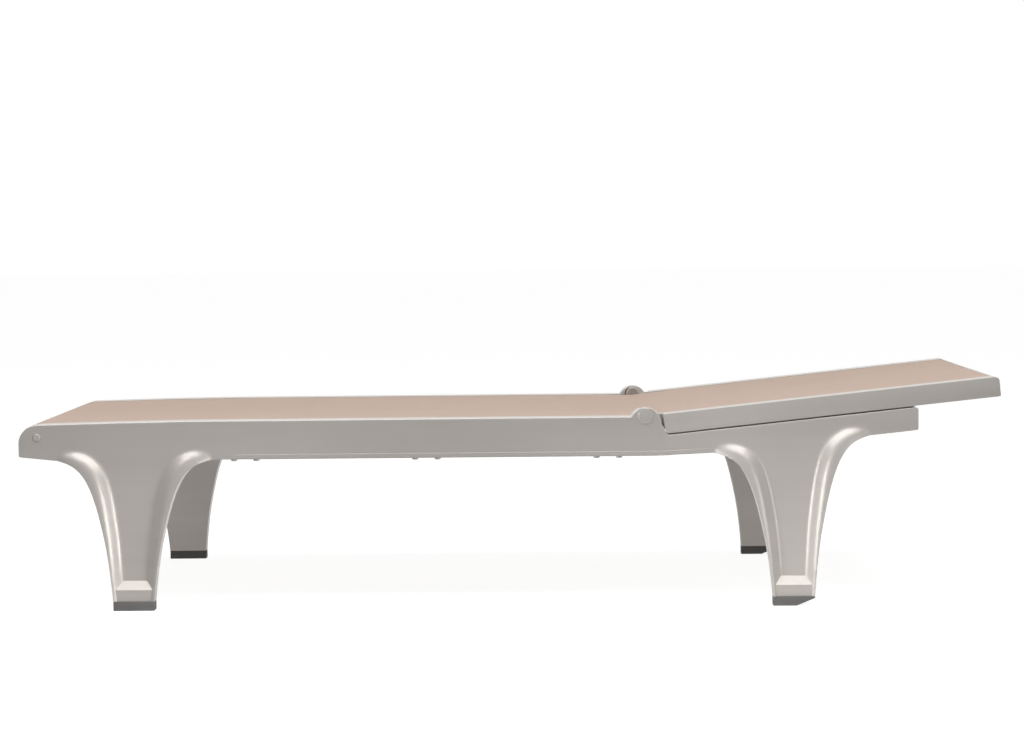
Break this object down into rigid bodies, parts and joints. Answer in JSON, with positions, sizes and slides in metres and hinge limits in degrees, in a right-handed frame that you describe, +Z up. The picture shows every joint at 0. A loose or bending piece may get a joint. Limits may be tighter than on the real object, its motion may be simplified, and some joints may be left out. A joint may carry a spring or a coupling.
{
  "type": "sun lounger",
  "caption": "Sun lounger with flared moulded legs, a stretched textile sling and a backrest that reclines on two pivots and is held up by a stay standing in racks.",
  "frame": {"origin": "on the floor under the middle of the lounger", "axes": "+X towards the head end, +Y towards the lounger's right side, +Z up"},
  "size_m": [1.9097, 0.68, 0.4359],
  "materials": {
    "resin": "satin pearl moulded resin",
    "sling": "open weave coated textile",
    "foot": "matt moulded",
    "wheel": "matt moulded",
    "steel": "plain zinc plate",
    "cap": "satin",
    "liner": "satin"
  },
  "bodies": {
    "base": {"side_frame_left": "resin", "side_frame_right": "resin", "foot_end_bar": "resin", "spreader_bar_front": "resin", "spreader_bar_middle": "resin", "spreader_bar_rear": "resin", "rear_cross_bar": "resin", "notch_rack_left": "resin", "notch_rack_right": "resin", "front_foot_left": "foot", "front_foot_right": "foot", "rear_foot_left": "foot", "rear_foot_right": "foot", "wheel_axle_left": "steel", "wheel_axle_right": "steel", "pivot_pin_left": "steel", "pivot_pin_right": "steel", "pivot_washer_left": "liner", "pivot_washer_right": "liner", "pivot_cap_left": "cap", "pivot_cap_right": "cap", "seat_sling": "sling", "seat_welt_left": "liner", "seat_welt_right": "liner", "spreader_screws": "steel", "nose_bolts": "steel", "nose_plugs": "cap"},
    "back": {"back_rail_left": "resin", "back_rail_right": "resin", "head_bar": "resin", "back_lower_bar": "resin", "back_upper_bar": "resin", "prop_pin_left": "steel", "prop_pin_right": "steel", "back_sling": "sling", "back_welt_left": "liner", "back_welt_right": "liner"},
    "stay": {"prop_stay": "resin"},
    "left_wheel": {"wheel_left": "wheel"},
    "right_wheel": {"wheel_right": "wheel"}
  },
  "joints": [
    {"name": "back_recline", "type": "hinge", "parent": "base", "child": "back", "pos_m": [0.267, 0, 0.366], "axis": [0, -1, 0], "range_deg": [0, 62.2]},
    {"name": "stay_swing", "type": "hinge", "parent": "back", "child": "stay", "pos_m": [0.4785, 0, 0.3698], "axis": [0, -1, 0], "range_deg": [-125, 0]},
    {"name": "left_wheel_spin", "type": "hinge", "parent": "base", "child": "left_wheel", "pos_m": [0.567, -0.326, 0.013], "axis": [0, 1, 0], "continuous": true},
    {"name": "right_wheel_spin", "type": "hinge", "parent": "base", "child": "right_wheel", "pos_m": [0.567, 0.326, 0.013], "axis": [0, 1, 0], "continuous": true}
  ],
  "couplings": [
    {"joint": "stay_swing", "follows": "back_recline", "ratio": -2}
  ]
}
